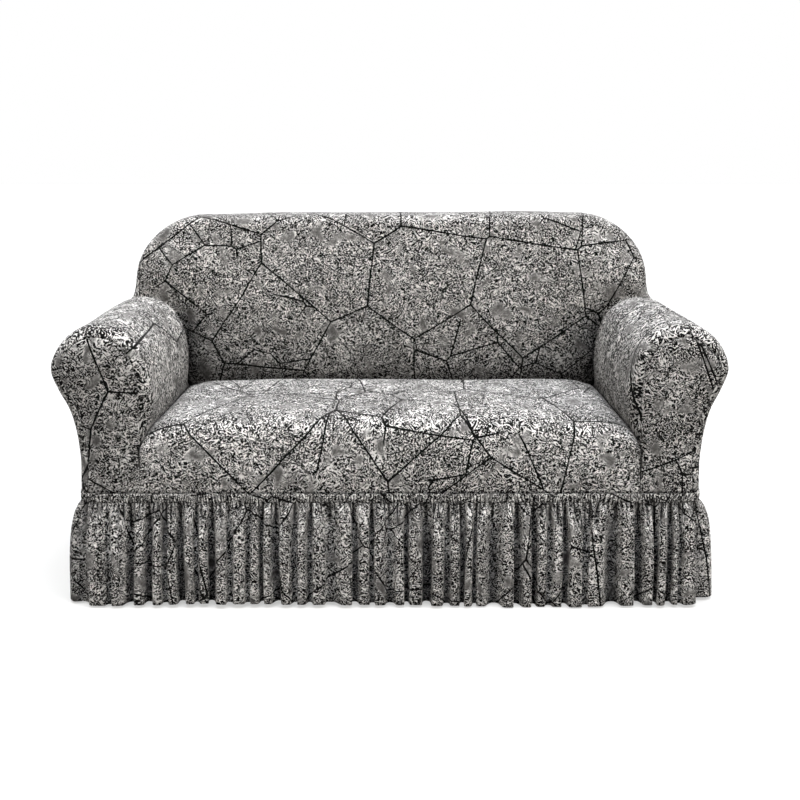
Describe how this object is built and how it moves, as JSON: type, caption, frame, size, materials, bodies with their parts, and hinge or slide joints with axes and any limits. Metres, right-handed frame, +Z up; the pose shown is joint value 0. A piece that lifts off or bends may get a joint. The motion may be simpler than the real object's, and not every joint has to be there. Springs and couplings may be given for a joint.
{
  "type": "sofa slipcover",
  "caption": "Fitted stretch cover for a rolled-arm sofa, in cloth printed with a crackled stone pattern, with a gathered heading and a floor-length gathered skirt.",
  "frame": {"origin": "on the floor, at the centre of the cover's footprint", "axes": "+X to the cover's right as seen from the front, +Y from the front towards the back, +Z up"},
  "size_m": [1.7204, 0.9812, 0.9575],
  "materials": {
    "body_cloth": "matt knitted stretch cloth, printed in warm greys with dark squiggles and thin black crack lines",
    "heading_cloth": "the same cloth, gathered finely over elastic between two rows of stitches",
    "skirt_cloth": "the same cloth, hanging in soft uneven folds"
  },
  "bodies": {
    "root": {"back_inner": "body_cloth", "back_outer": "body_cloth", "seat": "body_cloth", "arm_left": "body_cloth", "arm_right": "body_cloth", "arm_front_left": "body_cloth", "arm_front_right": "body_cloth", "band_front": "heading_cloth", "band_right": "heading_cloth", "band_back": "heading_cloth", "band_left": "heading_cloth", "skirt_front": "skirt_cloth", "skirt_right": "skirt_cloth", "skirt_back": "skirt_cloth", "skirt_left": "skirt_cloth"}
  },
  "joints": []
}
